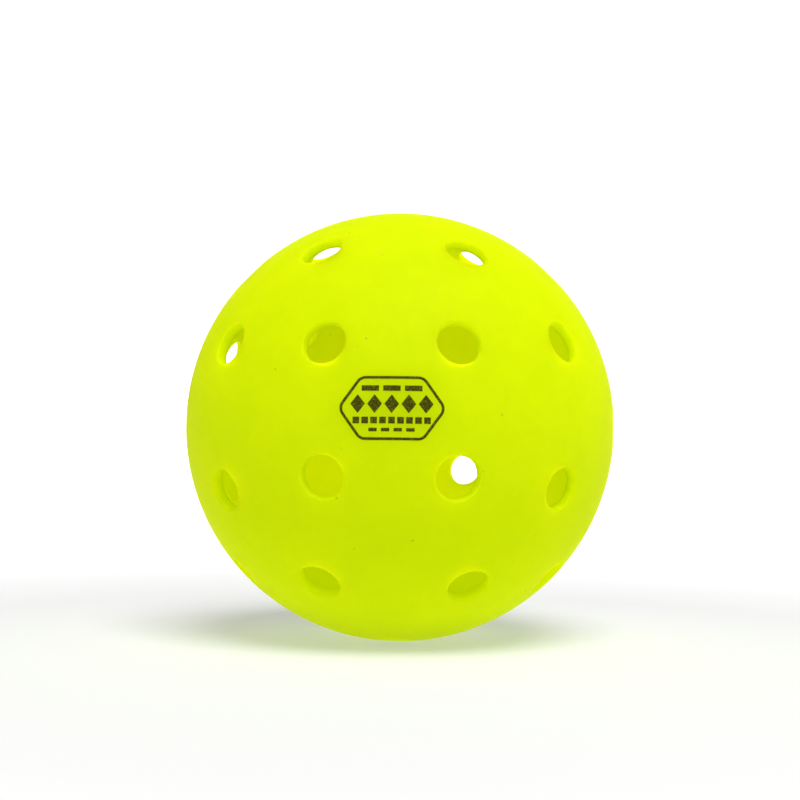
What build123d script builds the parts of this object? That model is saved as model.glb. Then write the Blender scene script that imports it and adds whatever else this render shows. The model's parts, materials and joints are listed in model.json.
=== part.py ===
from build123d import *

import os
from math import cos, pi, radians, sin, sqrt

# Perforated outdoor pickleball ball: two half shells, the weld that joins them at the
# equator, and a mark printed at the front pole.
#
# Frame: millimetres, +Z up, origin at the ball's centre. The two poles lie on the Y axis,
# with the printed front pole at -Y, so the weld is in the XZ plane. Azimuth is measured
# about Y, from +X towards +Z, on both halves.

# Shell
ball_diameter = 74.0
wall = 1.8
hole_diameter = 6.6
outer_lip = 0.35  # rounding of each hole's edge on the outside
inner_lip = 0.25  # rounding of each hole's edge on the inside

# Holes of each half shell, in groups of four spaced a quarter turn apart:
# angle from that half's own pole, and azimuth of the group's first hole
holes_per_group = 4
front_groups = [
    (22.3, 45.0),  # ring next to the pole
    (50.9, 24.3),  # middle ring, two interleaved groups
    (49.4, -23.2),
    (80.3, -0.8),  # ring next to the equator, two interleaved groups
    (75.8, 45.1),
]
rear_groups = [
    (22.3, -26.0),
    (51.4, -1.8),
    (53.5, 45.7),
    (80.3, 23.3),
    (75.8, -22.6),
]
clear_azimuth = 11.0  # a meridian that passes no hole, where the spheres' seam edges lie

# Weld
weld_width = 0.4
weld_bead_height = 0.4  # how far the bead stands in from the inside of the wall

# Printed mark: a pointed frame round four plain rows of dashes, lozenges and squares.
# Each row is (count, pitch, height above the mark's centre).
ink_thickness = 0.04
mark_offset = (0.28, 0.0)  # mark's centre from the pole, along X and Z
frame_width = 15.8
frame_height = 9.2
frame_flat = 9.2  # length of the frame's straight top and bottom, before rounding
frame_corner = 1.6
frame_line = 0.4
top_dash = (2.5, 0.8)
top_dash_row = (3, 3.1, 2.85)
lozenge = (2.1, 2.7)
lozenge_row = (5, 2.45, 0.6)
square_side = 0.95
square_row = (9, 1.28, -1.75)
low_dash = (1.2, 0.5)
low_dash_row = (4, 1.8, -3.1)

ball_radius = ball_diameter / 2
inner_radius = ball_radius - wall
hole_radius = hole_diameter / 2
poles = Plane(
    origin=(0, 0, 0),
    x_dir=(cos(radians(clear_azimuth)), 0, sin(radians(clear_azimuth))),
    z_dir=(0, -1, 0),
)


def at_height(radius, height):
    """Distance from the Y axis of a sphere's surface at a distance along that axis."""
    return sqrt(radius**2 - height**2)


def hole_direction(side, polar, azimuth):
    """Unit vector out through a hole; side is -1 on the front half and 1 on the rear."""
    polar, azimuth = radians(polar), radians(azimuth)
    return Vector(sin(polar) * cos(azimuth), side * cos(polar), sin(polar) * sin(azimuth))


def half_shell_blank(side):
    """Half of the hollow ball, up to the weld, with no holes."""
    hollow = poles * (Sphere(ball_radius) - Sphere(inner_radius))
    weld_face = Plane(origin=(0, side * weld_width / 2, 0), z_dir=(0, side, 0))
    return split(hollow, bisect_by=weld_face, keep=Keep.TOP)


def hole_cutters(side, groups):
    cutters = []
    for polar, first_azimuth in groups:
        for step in range(holes_per_group):
            azimuth = first_azimuth + step * 360 / holes_per_group
            direction = hole_direction(side, polar, azimuth)
            disc = Plane(origin=direction * (inner_radius - wall), z_dir=direction)
            cutters.append(extrude(disc * Circle(hole_radius), amount=3 * wall))
    return cutters


def round_hole_edges(shell, sphere_radius, lip):
    """Round every hole's edge where it meets the sphere of that radius."""
    rim_length = 2 * pi * hole_radius
    rims = [
        edge
        for edge in shell.edges()
        if abs(edge.length - rim_length) < lip
        and abs(edge.position_at(0.3).length - sphere_radius) < lip / 10
    ]
    return fillet(rims, lip)


def half_shell(side, groups):
    shell = half_shell_blank(side) - hole_cutters(side, groups)
    shell = round_hole_edges(shell, ball_radius, outer_lip)
    return round_hole_edges(shell, inner_radius, inner_lip)


def weld_ring():
    """Melted edge zone between the halves, flush outside, with a bead inside the wall."""
    edge = weld_width / 2
    outside = at_height(ball_radius, edge)
    inside = at_height(inner_radius, edge)
    section = make_face(
        [
            ThreePointArc((outside, -edge), (ball_radius, 0), (outside, edge)).edge(),
            Line((outside, edge), (inside, edge)).edge(),
            ThreePointArc(
                (inside, edge), (inner_radius - weld_bead_height, 0), (inside, -edge)
            ).edge(),
            Line((inside, -edge), (outside, -edge)).edge(),
        ]
    )
    return revolve(section, axis=Axis.Y)


def printed(outline):
    """Ink film on the ball: a flat outline carried straight back onto the front pole."""
    start = Plane(
        origin=(mark_offset[0], -ball_radius - 1, mark_offset[1]),
        x_dir=(1, 0, 0),
        z_dir=(0, -1, 0),
    )
    column = extrude(start * outline, amount=frame_height / 2, dir=(0, 1, 0))
    film = Sphere(ball_radius + ink_thickness) - Sphere(ball_radius)
    return column & film


def pointed_frame(width, height, flat, corner):
    points = [
        (-width / 2, 0),
        (-flat / 2, height / 2),
        (flat / 2, height / 2),
        (width / 2, 0),
        (flat / 2, -height / 2),
        (-flat / 2, -height / 2),
    ]
    outline = Polygon(*points, align=None)
    return fillet(outline.vertices(), corner)


def mark_border():
    outer = pointed_frame(frame_width, frame_height, frame_flat, frame_corner)
    return outer - offset(outer, -frame_line)


def row_places(count, pitch, height):
    return [Pos((step - (count - 1) / 2) * pitch, height) for step in range(count)]


def mark_figure():
    width, height = lozenge
    corners = [(-width / 2, 0), (0, height / 2), (width / 2, 0), (0, -height / 2)]
    return [
        *[place * Rectangle(*top_dash) for place in row_places(*top_dash_row)],
        *[place * Polygon(*corners, align=None) for place in row_places(*lozenge_row)],
        *[place * Rectangle(square_side, square_side) for place in row_places(*square_row)],
        *[place * Rectangle(*low_dash) for place in row_places(*low_dash_row)],
    ]


nodes = {
    "front_half_shell": half_shell(-1, front_groups),
    "rear_half_shell": half_shell(1, rear_groups),
    "weld_ring": weld_ring(),
    "print_border": printed(mark_border()),
    "print_figure": Compound([printed(shape).solid() for shape in mark_figure()]),
}

os.makedirs("parts", exist_ok=True)
for name, shape in nodes.items():
    shape.label = name
    export_step(shape, f"parts/{name}.step")
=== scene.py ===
import json
import math

import bpy
import numpy as np
from mathutils import Matrix, Vector, geometry, noise


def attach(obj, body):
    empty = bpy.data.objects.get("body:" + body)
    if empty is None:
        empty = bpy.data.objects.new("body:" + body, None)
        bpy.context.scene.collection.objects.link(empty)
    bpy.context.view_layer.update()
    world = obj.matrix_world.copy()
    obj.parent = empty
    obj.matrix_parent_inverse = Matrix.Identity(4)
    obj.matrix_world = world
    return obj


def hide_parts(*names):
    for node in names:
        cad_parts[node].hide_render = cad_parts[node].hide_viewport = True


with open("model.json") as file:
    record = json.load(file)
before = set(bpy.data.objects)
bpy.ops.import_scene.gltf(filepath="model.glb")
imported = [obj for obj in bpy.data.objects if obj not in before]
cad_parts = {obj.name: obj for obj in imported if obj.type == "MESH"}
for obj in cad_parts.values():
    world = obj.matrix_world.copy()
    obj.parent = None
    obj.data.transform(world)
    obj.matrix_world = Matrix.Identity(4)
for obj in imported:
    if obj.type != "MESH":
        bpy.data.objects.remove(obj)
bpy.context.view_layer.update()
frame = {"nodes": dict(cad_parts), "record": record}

# A perforated pickleball ball. Metres, +Z up, origin at the ball's centre. The poles lie
# on the Y axis, the printed one at -Y. Azimuth runs about Y, from +X towards +Z.

MM = 0.001

# Shell
BALL_RADIUS = 37 * MM
WALL = 1.8 * MM
INNER_RADIUS = BALL_RADIUS - WALL
HOLE_RADIUS = frame["record"]["mounts"][0]["dims"]["r_mm"] * MM
OUTER_LIP = 0.35 * MM
INNER_LIP = 0.25 * MM

# Holes, in groups of four a quarter turn apart:
# angle from the half's own pole, and azimuth of the group's first hole
HOLES_PER_GROUP = 4
FRONT_GROUPS = ((22.3, 45.0), (50.9, 24.3), (49.4, -23.2), (80.3, -0.8), (75.8, 45.1))
REAR_GROUPS = ((22.3, -26.0), (51.4, -1.8), (53.5, 45.7), (80.3, 23.3), (75.8, -22.6))

# Weld
WELD_HALF_WIDTH = 0.2 * MM
WELD_BEAD = 0.4 * MM
WELD_GROOVE = 0.045 * MM  # how far the seam line lies below the ball's surface
WELD_GAP = 0.01 * MM  # keeps the weld's hidden sides off the halves' edges
WELD_LUMP = 2.5 * MM  # size of the unevenness along the weld
EDGE_ROLL = 0.35 * MM  # distance from the equator at which a half's edge starts to turn in

# Mesh fineness
RIM_POINTS = 72
# rings of points round each hole: distance outside its rim, and number of points
GUARD_RINGS = ((0.30 * MM, 72), (0.75 * MM, 56), (1.35 * MM, 40))
FILL_GAP = 2.0 * MM  # distance from a hole's rim within which no fill point lies
EDGE_GAP = 0.7 * MM  # distance from a half's edge within which no fill point lies
FILL_POINTS = 15000
EQUATOR_POINTS = 300
LIP_STEPS = 6
WALL_STEPS = 4
BEAD_STEPS = 8
WAVE_HEIGHT = 0.012 * MM
WAVE_LENGTH = 11 * MM

# Camera
CAMERA_AZIMUTH = 2.33
CAMERA_ELEVATION = -4.26
CAMERA_ROLL = 0.76
CAMERA_DISTANCE = 5.207 * BALL_RADIUS
CAMERA_LENS = 49.21
CAMERA_SHIFT_Y = 0.0341
SENSOR_WIDTH = 36
CLIP_RANGE = (0.01, 50)

# Stage and light
WHITE = (1, 1, 1, 1)
ROOM_LIGHT = 0.18  # overhead; the room is white at the horizon
ROOM_FADE = 0.25  # sine of the elevation at which that white has faded out
FLOOR_SIZE = 8.0
FLOOR_COLOUR = (0.62, 0.62, 0.62, 1)
# Painted light: the floor glows without being a lamp, less near the ball than far from it.
FLOOR_GLOW = (0.34, 1.0)  # near the ball, and far from it
FLOOR_FADE = (0.10, 0.5)  # distances between which that glow rises
BACKDROP_SIZE = (1.5, 1.8, 3.0)  # half width, height, distance behind the ball
BACKDROP_COLOUR = (0.3, 0.3, 0.3, 1)
BACKDROP_GLOW = 1.3
KEY_PLACE = (0.18, -0.62, 0.92)
KEY_SIZE = 0.7
KEY_POWER = 12.6

# Plastic
PLASTIC = (0.51, 0.68, 0.001, 1)
PLASTIC_DEEP = (0.47, 0.65, 0.001, 1)
CLOUD_SIZE = 9 * MM
GRAIN_SIZE = 0.35 * MM
FINE_SIZE = 0.16 * MM
SOFT_SIZE = 1.6 * MM
SPECK_SIZE = 0.55 * MM
SPECK_LEVEL = (0.885, 0.90)  # noise heights between which a speck fades in
SPECK = (0.22, 0.20, 0.03, 1)
SCATTER_DEPTH = 17 * MM
SCATTER_SHARE = (1.0, 1.0, 0.05)  # of that depth, for red, green and blue
PLASTIC_GLOW = (0.65, 0.75, 0.0, 1)
SHELL_GLOW = 0.17  # painted glow of the open surface, standing in for the plastic's fluorescence
EDGE_GLOW = 0.24  # more painted glow at the cut edges, inside the holes' walls, lifting their shade
EDGE_SOFT = 0.4 * MM  # depth over which one turns into the other
EDGE_START = 0.1 * MM  # depth below the outer surface at which that turn starts
WELD_TINT = 0.9  # the weld's painted glow, as a share of the shells'
JOINT_GLOW = 0.34  # painted light carried across the weld, from one half's edge into the other
JOINT_COLOUR = (1, 1, 0.3, 1)

# Ink
INK = (0.033, 0.036, 0.001, 1)
INK_THIN = (0.15, 0.16, 0.003, 1)
INK_GRAIN = 0.22 * MM


# ---------------------------------------------------------------- shell meshes


def hole_directions(side, groups):
    """Unit vectors out through the holes of one half; side is -1 in front, 1 behind."""
    directions = []
    for polar, first_azimuth in groups:
        for step in range(HOLES_PER_GROUP):
            azimuth = math.radians(first_azimuth + step * 360 / HOLES_PER_GROUP)
            ring = math.sin(math.radians(polar))
            height = side * math.cos(math.radians(polar))
            directions.append((ring * math.cos(azimuth), height, ring * math.sin(azimuth)))
    return np.array(directions)


def axes_across(direction):
    """Two unit vectors square to a direction and to each other."""
    first = np.cross(direction, (0.0, 0.3, 1.0))
    first /= np.linalg.norm(first)
    return first, np.cross(direction, first)


def circle(direction, radius, height, count):
    """Points of a circle square to a direction, at a height along it from the centre."""
    first, second = axes_across(direction)
    turn = np.linspace(0, 2 * math.pi, count, endpoint=False)[:, None]
    return direction * height + radius * (np.cos(turn) * first + np.sin(turn) * second)


def hole_profile():
    """(radius, height) points down a hole: outer lip, straight wall, inner lip."""
    outer = HOLE_RADIUS + OUTER_LIP
    inner = HOLE_RADIUS + INNER_LIP
    outer_height = math.sqrt((BALL_RADIUS - OUTER_LIP) ** 2 - outer**2)
    inner_height = math.sqrt((INNER_RADIUS + INNER_LIP) ** 2 - inner**2)
    outer_start = math.pi / 2 - math.atan2(outer, outer_height)
    inner_end = 1.5 * math.pi - math.atan2(inner, inner_height)
    points = []
    for turn in np.linspace(outer_start, math.pi, LIP_STEPS + 1):
        height = outer_height + OUTER_LIP * math.sin(turn)
        points.append((outer + OUTER_LIP * math.cos(turn), height))
    for share in np.linspace(0, 1, WALL_STEPS + 1)[1:-1]:
        points.append((HOLE_RADIUS, outer_height + share * (inner_height - outer_height)))
    for turn in np.linspace(math.pi, inner_end, LIP_STEPS + 1):
        height = inner_height + INNER_LIP * math.sin(turn)
        points.append((inner + INNER_LIP * math.cos(turn), height))
    return points


def equator_profile():
    """(radius, distance from the equator) points round the welded edge of a half."""
    inner_roll = 0.7 * EDGE_ROLL
    outer_start = math.sqrt(BALL_RADIUS**2 - EDGE_ROLL**2)
    inner_end = math.sqrt(INNER_RADIUS**2 - inner_roll**2)
    return [
        (outer_start, EDGE_ROLL),
        (BALL_RADIUS - 0.25 * WELD_GROOVE, 0.72 * EDGE_ROLL),
        (BALL_RADIUS - WELD_GROOVE, WELD_HALF_WIDTH),
        (INNER_RADIUS + 0.4 * WALL, WELD_HALF_WIDTH),
        (INNER_RADIUS + WELD_GROOVE, WELD_HALF_WIDTH),
        (inner_end, inner_roll),
    ]


def ring_about_y(radius, height, count=EQUATOR_POINTS):
    turn = np.linspace(0, 2 * math.pi, count, endpoint=False)
    return np.stack([radius * np.cos(turn), np.full(count, height), radius * np.sin(turn)], 1)


def fill_directions(side, directions, radius, rim_radius, edge_height):
    """Evenly spread points over one half of a sphere, clear of its holes and its edge."""
    index = np.arange(FILL_POINTS)
    height = 1 - (2 * index + 1) / FILL_POINTS
    turn = index * math.pi * (3 - math.sqrt(5))
    ring = np.sqrt(1 - height**2)
    points = np.stack([ring * np.cos(turn), height, ring * np.sin(turn)], 1)
    nearest = np.arccos(np.clip((points @ directions.T).max(1), -1, 1)) * radius
    clear = nearest > rim_radius + FILL_GAP
    return points[clear & (points[:, 1] * side * radius > edge_height + EDGE_GAP)]


def flat_map(directions, side):
    """Stereographic map of a half sphere to a disc, which keeps circles as circles."""
    below = 1 + side * directions[:, 1]
    return np.stack([directions[:, 0] / below, directions[:, 2] / below], 1)


def loop_edges(start, count):
    return [(start + step, start + (step + 1) % count) for step in range(count)]


def sphere_sheet(side, directions, radius, rim, edge, outward):
    """Triangles over one half of a sphere, with a round opening at each hole.

    Returns the points, the triangles, and where each hole's rim and the edge ring start.
    """
    rim_radius, rim_height = rim
    edge_radius, edge_height = edge
    rim_angle = math.atan2(rim_radius, rim_height)
    blocks = [circle(d, rim_radius, rim_height, RIM_POINTS) for d in directions]
    blocks.append(ring_about_y(edge_radius, side * edge_height))
    for gap, count in GUARD_RINGS:
        angle = rim_angle + gap / radius
        for direction in directions:
            ring = circle(direction, radius * math.sin(angle), radius * math.cos(angle), count)
            blocks.append(ring)
    blocks.append(radius * fill_directions(side, directions, radius, rim_radius, edge_height))
    points = np.concatenate(blocks)
    unit = points / np.linalg.norm(points, axis=1)[:, None]
    flat = [Vector(p) for p in flat_map(unit, side).tolist()]

    rim_starts = [hole * RIM_POINTS for hole in range(len(directions))]
    edge_start = len(directions) * RIM_POINTS
    fixed = [pair for start in rim_starts for pair in loop_edges(start, RIM_POINTS)]
    fixed += loop_edges(edge_start, EQUATOR_POINTS)
    _, _, faces, sources, _, _ = geometry.delaunay_2d_cdt(flat, fixed, [], 0, 1e-9)
    triangles = np.array([[sources[v][0] for v in face] for face in faces])

    centre = points[triangles].mean(1)
    centre /= np.linalg.norm(centre, axis=1)[:, None]
    in_hole = (centre @ directions.T).max(1) > math.cos(rim_angle)
    triangles = triangles[~in_hole]
    corners = points[triangles]
    facing = np.cross(corners[:, 1] - corners[:, 0], corners[:, 2] - corners[:, 0])
    away = (facing * corners[:, 0]).sum(1) > 0
    triangles[away != outward] = triangles[away != outward][:, ::-1]
    return points, triangles, rim_starts, edge_start


def strip(first, second, count):
    """Quads between two rings of points, given where each ring starts."""
    quads = []
    for step in range(count):
        after = (step + 1) % count
        quads.append((first + step, first + after, second + after, second + step))
    return quads


def flipped(faces):
    return [tuple(reversed(face)) for face in faces]


def wave(points):
    """Slight unevenness of the moulded surface, along each point's own direction."""
    heights = [noise.noise(Vector(p) / WAVE_LENGTH) for p in points.tolist()]
    unit = points / np.linalg.norm(points, axis=1)[:, None]
    return points + unit * (WAVE_HEIGHT * np.array(heights))[:, None]


def half_shell_mesh(side, groups):
    directions = hole_directions(side, groups)
    hole_rows = hole_profile()
    edge_rows = equator_profile()
    outer = sphere_sheet(side, directions, BALL_RADIUS, hole_rows[0], edge_rows[0], True)
    inner = sphere_sheet(side, directions, INNER_RADIUS, hole_rows[-1], edge_rows[-1], False)
    inner_offset = len(outer[0])
    blocks = [outer[0], inner[0]]
    count = inner_offset + len(inner[0])
    faces = [tuple(face) for face in outer[1].tolist()]
    faces += [tuple(face) for face in (inner[1] + inner_offset).tolist()]

    for hole, direction in enumerate(directions):
        starts = [outer[2][hole]]
        for radius, height in hole_rows[1:-1]:
            blocks.append(circle(direction, radius, height, RIM_POINTS))
            starts.append(count)
            count += RIM_POINTS
        starts.append(inner[2][hole] + inner_offset)
        for above, below in zip(starts, starts[1:]):
            faces += strip(above, below, RIM_POINTS)

    starts = [outer[3]]
    for radius, height in edge_rows[1:-1]:
        blocks.append(ring_about_y(radius, side * height))
        starts.append(count)
        count += EQUATOR_POINTS
    starts.append(inner[3] + inner_offset)
    for above, below in zip(starts, starts[1:]):
        quads = strip(above, below, EQUATOR_POINTS)
        faces += flipped(quads) if side < 0 else quads
    return wave(np.concatenate(blocks)), faces


def weld_ring_mesh():
    """The seam: a shallow uneven line outside, and a rounded bead inside the wall.

    Returns the points, the faces, and for each face whether it lies hidden in the joint.
    """
    edge = WELD_HALF_WIDTH - WELD_GAP
    outer = [
        (BALL_RADIUS - WELD_GROOVE, -edge),
        (BALL_RADIUS - 0.5 * WELD_GROOVE, -0.5 * edge),
        (BALL_RADIUS - 0.3 * WELD_GROOVE, 0),
        (BALL_RADIUS - 0.5 * WELD_GROOVE, 0.5 * edge),
        (BALL_RADIUS - WELD_GROOVE, edge),
    ]
    bead = []
    for turn in np.linspace(0, math.pi, BEAD_STEPS + 1):
        bead_radius = INNER_RADIUS - WELD_BEAD * math.sin(turn)
        bead.append((bead_radius, edge * math.cos(turn)))
    profile = outer + bead
    rings = 2 * EQUATOR_POINTS
    points = []
    for radius, height in profile:
        for x, y, z in ring_about_y(radius, height, rings).tolist():
            lump = noise.noise(Vector((x, y, z)) / WELD_LUMP)
            swell = 0.12 * WELD_BEAD if radius < INNER_RADIUS else 0.3 * WELD_GROOVE
            share = 1 + lump * swell / radius
            points.append((x * share, y, z * share))
    faces = []
    hidden = []
    for row in range(len(profile)):
        after = (row + 1) % len(profile)
        faces += flipped(strip(row * rings, after * rings, rings))
        hidden += [after in (0, len(outer))] * rings
    return points, faces, hidden


def add_mesh(name, points, faces):
    mesh = bpy.data.meshes.new(name)
    mesh.from_pydata([tuple(p) for p in points], [], faces)
    mesh.update()
    mesh.shade_smooth()
    piece = bpy.data.objects.new(name, mesh)
    bpy.context.scene.collection.objects.link(piece)
    return piece


# ------------------------------------------------------------------- materials


class Nodes:
    """Short names for adding and joining the nodes of one material."""

    def __init__(self, name):
        self.material = bpy.data.materials.new(name)
        self.material.use_nodes = True
        self.tree = self.material.node_tree
        self.shader = self.tree.nodes["Principled BSDF"]
        self.place = self.tree.nodes.new("ShaderNodeTexCoord").outputs["Object"]

    def add(self, kind, inputs=None, **settings):
        node = self.tree.nodes.new(kind)
        for key, value in settings.items():
            setattr(node, key, value)
        for key, value in (inputs or {}).items():
            self.put(node.inputs[key], value)
        return node

    def put(self, socket, value):
        if isinstance(value, bpy.types.NodeSocket):
            self.tree.links.new(value, socket)
        else:
            socket.default_value = value

    def noise(self, grain, detail=2.0, roughness=0.5):
        """Noise from 0 to 1 whose lumps are about one grain across."""
        inputs = {"Vector": self.place, "Scale": 1 / grain, "Detail": detail, "Roughness": roughness}
        return self.add("ShaderNodeTexNoise", inputs).outputs["Fac"]

    def remap(self, value, low, high, to_low=0.0, to_high=1.0):
        inputs = {
            "Value": value, "From Min": low, "From Max": high, "To Min": to_low, "To Max": to_high
        }
        return self.add("ShaderNodeMapRange", inputs).outputs["Result"]

    def mix(self, share, first, second):
        node = self.add("ShaderNodeMix", data_type="RGBA")
        self.put(node.inputs[0], share)
        self.put(node.inputs[6], first)
        self.put(node.inputs[7], second)
        return node.outputs[2]

    def bump(self, height, distance, strength, normal=None):
        inputs = {"Height": height, "Distance": distance, "Strength": strength}
        if normal is not None:
            inputs["Normal"] = normal
        return self.add("ShaderNodeBump", inputs).outputs["Normal"]


def plastic_material(name, tint=1.0):
    """Fluorescent polyethylene: matt, slightly cloudy, light soaking through the wall, and a painted
    glow that is stronger on the cut faces inside the wall.
    """
    m = Nodes(name)
    cloud = m.remap(m.noise(CLOUD_SIZE, 3.0), 0.35, 0.65)
    colour = m.mix(cloud, PLASTIC, PLASTIC_DEEP)
    grain = m.remap(m.noise(GRAIN_SIZE, 2.0), 0.3, 0.7)
    speck = m.remap(m.noise(SPECK_SIZE, 0.0), *SPECK_LEVEL)
    colour = m.mix(speck, colour, SPECK)
    roughness = m.remap(grain, 0.0, 1.0, 0.50, 0.60)
    fine = m.bump(m.noise(FINE_SIZE, 3.0), 0.02 * MM, 0.35)
    soft = m.bump(m.noise(SOFT_SIZE, 2.0), 0.05 * MM, 0.25, fine)
    m.put(m.shader.inputs["Base Color"], colour)
    m.put(m.shader.inputs["Roughness"], roughness)
    m.put(m.shader.inputs["Normal"], soft)
    m.put(m.shader.inputs["IOR"], 1.5)
    m.put(m.shader.inputs["Specular IOR Level"], 0.012)
    m.put(m.shader.inputs["Subsurface Weight"], 1.0)
    m.put(m.shader.inputs["Subsurface Radius"], SCATTER_SHARE)
    m.put(m.shader.inputs["Subsurface Scale"], SCATTER_DEPTH)
    m.put(m.shader.inputs["Emission Color"], PLASTIC_GLOW)
    # Painted light: the glow rises from the open surface to the cut faces inside the wall, lifting
    # the holes' walls out of their shade.
    radius = m.add("ShaderNodeVectorMath", {0: m.place}, operation="LENGTH").outputs["Value"]
    from_inside = m.remap(radius, INNER_RADIUS, INNER_RADIUS + EDGE_SOFT)
    edge_start = BALL_RADIUS - EDGE_START
    from_outside = m.remap(radius, edge_start, edge_start - EDGE_SOFT)
    in_wall = m.add("ShaderNodeMath", {0: from_inside, 1: from_outside}, operation="MULTIPLY")
    glow = m.remap(in_wall.outputs["Value"], 0.0, 1.0, SHELL_GLOW * tint, EDGE_GLOW * tint)
    m.put(m.shader.inputs["Emission Strength"], glow)
    return m.material


def joint_material():
    """Hidden sides of the weld, whose painted glow lights the halves' edges as unbroken plastic
    would.
    """
    m = Nodes("hidden_joint_light")
    m.put(m.shader.inputs["Base Color"], PLASTIC)
    m.put(m.shader.inputs["Roughness"], 0.6)
    m.put(m.shader.inputs["Specular IOR Level"], 0.0)
    m.put(m.shader.inputs["Emission Color"], JOINT_COLOUR)
    m.put(m.shader.inputs["Emission Strength"], JOINT_GLOW)
    return m.material


def ink_material():
    """Dark pad-printing ink, speckled where the film is thin."""
    m = Nodes("pad_print_ink")
    grain = m.remap(m.noise(INK_GRAIN, 2.0, 0.7), 0.50, 0.66)
    colour = m.mix(grain, INK, INK_THIN)
    m.put(m.shader.inputs["Base Color"], colour)
    m.put(m.shader.inputs["Roughness"], m.remap(grain, 0.0, 1.0, 0.45, 0.6))
    m.put(m.shader.inputs["Normal"], m.bump(grain, 0.01 * MM, 0.4))
    m.put(m.shader.inputs["Specular IOR Level"], 0.04)
    return m.material


def floor_material():
    """Pale studio floor that glows a little more with distance, up to the white horizon."""
    m = Nodes("pale_floor")
    distance = m.add("ShaderNodeVectorMath", {0: m.place}, operation="LENGTH").outputs["Value"]
    glow = m.remap(distance, *FLOOR_FADE, *FLOOR_GLOW)
    m.put(m.shader.inputs["Base Color"], FLOOR_COLOUR)
    m.put(m.shader.inputs["Roughness"], 0.9)
    m.put(m.shader.inputs["Specular IOR Level"], 0.0)
    m.put(m.shader.inputs["Emission Color"], WHITE)
    m.put(m.shader.inputs["Emission Strength"], glow)
    return m.material


# ------------------------------------------------------------------------ ball


def build_shells(material):
    halves = (
        ("front_shell_skin", "front_half_shell", -1, FRONT_GROUPS),
        ("rear_shell_skin", "rear_half_shell", 1, REAR_GROUPS),
    )
    for name, node, side, groups in halves:
        piece = add_mesh(name, *half_shell_mesh(side, groups))
        piece.data.materials.append(material)
        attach(piece, "root")
        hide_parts(node)


def build_weld(material, hidden_material):
    points, faces, hidden = weld_ring_mesh()
    piece = add_mesh("weld_seam", points, faces)
    piece.data.materials.append(material)
    piece.data.materials.append(hidden_material)
    piece.data.polygons.foreach_set("material_index", [int(flag) for flag in hidden])
    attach(piece, "root")
    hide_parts("weld_ring")


def dress_print(material):
    for node in ("print_border", "print_figure"):
        mesh = frame["nodes"][node].data
        mesh.materials.clear()
        mesh.materials.append(material)


# ----------------------------------------------------------------------- stage


def build_floor():
    half = FLOOR_SIZE / 2
    corners = [(-half, -half, 0), (half, -half, 0), (half, half, 0), (-half, half, 0)]
    floor = add_mesh("floor", corners, [(0, 1, 2, 3)])
    floor.location.z = -BALL_RADIUS
    floor.data.materials.append(floor_material())


def build_backdrop():
    """A bright white wall well behind the ball, wide enough to fill the camera's view."""
    side, top, back = BACKDROP_SIZE
    corners = [(-side, back, 0), (side, back, 0), (side, back, top), (-side, back, top)]
    wall = add_mesh("backdrop", corners, [(0, 1, 2, 3)])
    wall.location.z = -BALL_RADIUS
    m = Nodes("lit_backdrop")
    m.put(m.shader.inputs["Base Color"], BACKDROP_COLOUR)
    m.put(m.shader.inputs["Emission Color"], WHITE)
    m.put(m.shader.inputs["Emission Strength"], BACKDROP_GLOW)
    wall.data.materials.append(m.material)


def area_light(name, place, size, power):
    light = bpy.data.lights.new(name, "AREA")
    light.shape = "DISK"
    light.size = size
    light.energy = power
    lamp = bpy.data.objects.new(name, light)
    lamp.location = place
    lamp.rotation_euler = (-Vector(place)).to_track_quat("-Z", "Y").to_euler()
    bpy.context.scene.collection.objects.link(lamp)


def build_light():
    world = bpy.data.worlds.new("studio_room")
    world.use_nodes = True
    tree = world.node_tree
    direction = tree.nodes.new("ShaderNodeTexCoord").outputs["Generated"]
    height = tree.nodes.new("ShaderNodeSeparateXYZ")
    tree.links.new(direction, height.inputs["Vector"])
    fade = tree.nodes.new("ShaderNodeMapRange")
    tree.links.new(height.outputs["Z"], fade.inputs["Value"])
    fade.inputs["From Min"].default_value = 0.0
    fade.inputs["From Max"].default_value = ROOM_FADE
    fade.inputs["To Min"].default_value = 1.0
    fade.inputs["To Max"].default_value = ROOM_LIGHT
    background = tree.nodes["Background"]
    background.inputs["Color"].default_value = WHITE
    tree.links.new(fade.outputs["Result"], background.inputs["Strength"])
    bpy.context.scene.world = world
    area_light("key_above", KEY_PLACE, KEY_SIZE, KEY_POWER)


def build_camera():
    azimuth = math.radians(CAMERA_AZIMUTH)
    elevation = math.radians(CAMERA_ELEVATION)
    back = Vector((
        math.cos(elevation) * math.sin(azimuth),
        -math.cos(elevation) * math.cos(azimuth),
        math.sin(elevation),
    ))
    data = bpy.data.cameras.new("camera")
    data.lens = CAMERA_LENS
    data.sensor_width = SENSOR_WIDTH
    data.shift_y = CAMERA_SHIFT_Y
    data.clip_start, data.clip_end = CLIP_RANGE
    camera = bpy.data.objects.new("camera", data)
    upright = back.to_track_quat("Z", "Y").to_matrix().to_4x4()
    roll = Matrix.Rotation(math.radians(CAMERA_ROLL), 4, "Z")
    camera.matrix_world = Matrix.Translation(back * CAMERA_DISTANCE) @ upright @ roll
    bpy.context.scene.collection.objects.link(camera)
    bpy.context.scene.camera = camera


bpy.context.scene.view_settings.view_transform = "Standard"
build_camera()
build_light()
build_floor()
build_backdrop()
build_shells(plastic_material("fluorescent_polyethylene"))
build_weld(plastic_material("melted_polyethylene", WELD_TINT), joint_material())
dress_print(ink_material())
